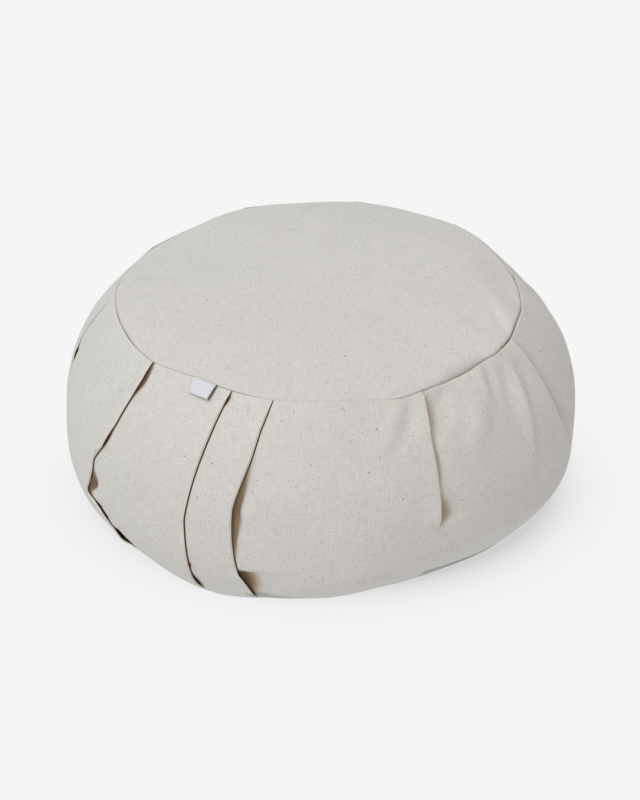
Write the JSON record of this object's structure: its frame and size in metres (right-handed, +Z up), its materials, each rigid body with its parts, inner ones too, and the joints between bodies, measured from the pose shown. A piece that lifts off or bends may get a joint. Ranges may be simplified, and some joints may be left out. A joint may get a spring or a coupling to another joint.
{
  "type": "zafu meditation cushion",
  "caption": "Round pleated floor cushion for sitting meditation: crowned top panel, knife-pleated side wall, flat base panel and a small blank seam tab.",
  "frame": {"origin": "centre of the flat resting face of the base panel, on the surface that the cushion stands on", "axes": "+Z up through the middle of the top panel, -Y towards the front, the side that faces the camera, with the seam tab at front left"},
  "size_m": [0.3603, 0.3586, 0.1775],
  "materials": {
    "cotton_canvas": "matte natural unbleached cotton canvas with small dark seed flecks",
    "label_tape": "smooth white woven tape, blank"
  },
  "bodies": {
    "root": {"side_band": "cotton_canvas", "top_panel": "cotton_canvas", "base_panel": "cotton_canvas", "label_tab": "label_tape"}
  },
  "joints": []
}
